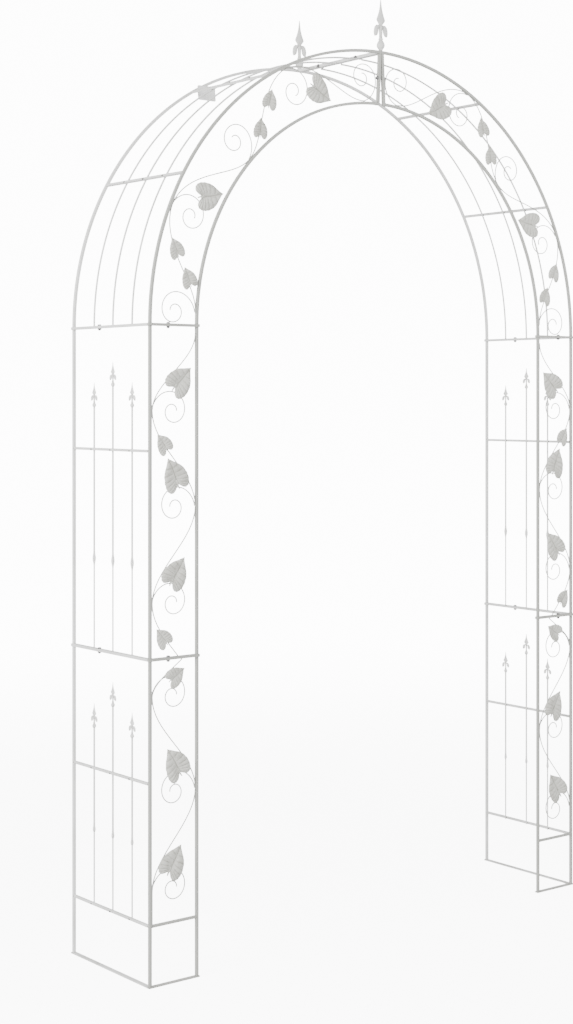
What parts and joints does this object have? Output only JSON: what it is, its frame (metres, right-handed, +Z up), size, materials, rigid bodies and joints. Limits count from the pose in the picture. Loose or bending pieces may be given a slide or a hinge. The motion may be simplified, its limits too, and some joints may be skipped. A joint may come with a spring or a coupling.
{
  "type": "garden arch",
  "caption": "Round-topped metal garden trellis arch with square-tube towers, spear rods in the side panels and a wire vine with heart leaves on its front.",
  "frame": {"origin": "middle of the footprint, on the ground", "axes": "+X across the way through, -Y towards the vine face, +Z up"},
  "size_m": [1.512, 0.371, 2.5175],
  "materials": {
    "paint": "satin off-white",
    "leaf_paint": "satin warm grey",
    "hardware": "zinc plated",
    "tag": "matte"
  },
  "bodies": {
    "root": {"left_lower_rear_post": "paint", "left_lower_outer_post": "paint", "left_lower_inner_post": "paint", "left_lower_foot_bar": "paint", "left_lower_head_bar": "paint", "left_lower_rails": "paint", "left_lower_spears": "paint", "left_lower_vine": "paint", "left_lower_leaves": "leaf_paint", "left_upper_rear_post": "paint", "left_upper_outer_post": "paint", "left_upper_inner_post": "paint", "left_upper_foot_bar": "paint", "left_upper_head_bar": "paint", "left_upper_rails": "paint", "left_upper_spears": "paint", "left_upper_vine": "paint", "left_upper_leaves": "leaf_paint", "right_lower_rear_post": "paint", "right_lower_outer_post": "paint", "right_lower_inner_post": "paint", "right_lower_foot_bar": "paint", "right_lower_head_bar": "paint", "right_lower_rails": "paint", "right_lower_spears": "paint", "right_lower_vine": "paint", "right_lower_leaves": "leaf_paint", "right_upper_rear_post": "paint", "right_upper_outer_post": "paint", "right_upper_inner_post": "paint", "right_upper_foot_bar": "paint", "right_upper_head_bar": "paint", "right_upper_rails": "paint", "right_upper_spears": "paint", "right_upper_vine": "paint", "right_upper_leaves": "leaf_paint", "left_arch_rear_arc": "paint", "left_arch_outer_arc": "paint", "left_arch_inner_arc": "paint", "left_arch_foot_bar": "paint", "left_arch_rungs": "paint", "left_arch_rods": "paint", "left_arch_vine": "paint", "left_arch_leaves": "leaf_paint", "right_arch_rear_arc": "paint", "right_arch_outer_arc": "paint", "right_arch_inner_arc": "paint", "right_arch_foot_bar": "paint", "right_arch_rungs": "paint", "right_arch_rods": "paint", "right_arch_vine": "paint", "right_arch_leaves": "leaf_paint", "apex_uprights": "paint", "top_crossbars": "paint", "front_finial": "paint", "rear_finial": "paint", "bolts": "hardware", "nuts": "hardware", "blank_tag": "tag"}
  },
  "joints": []
}
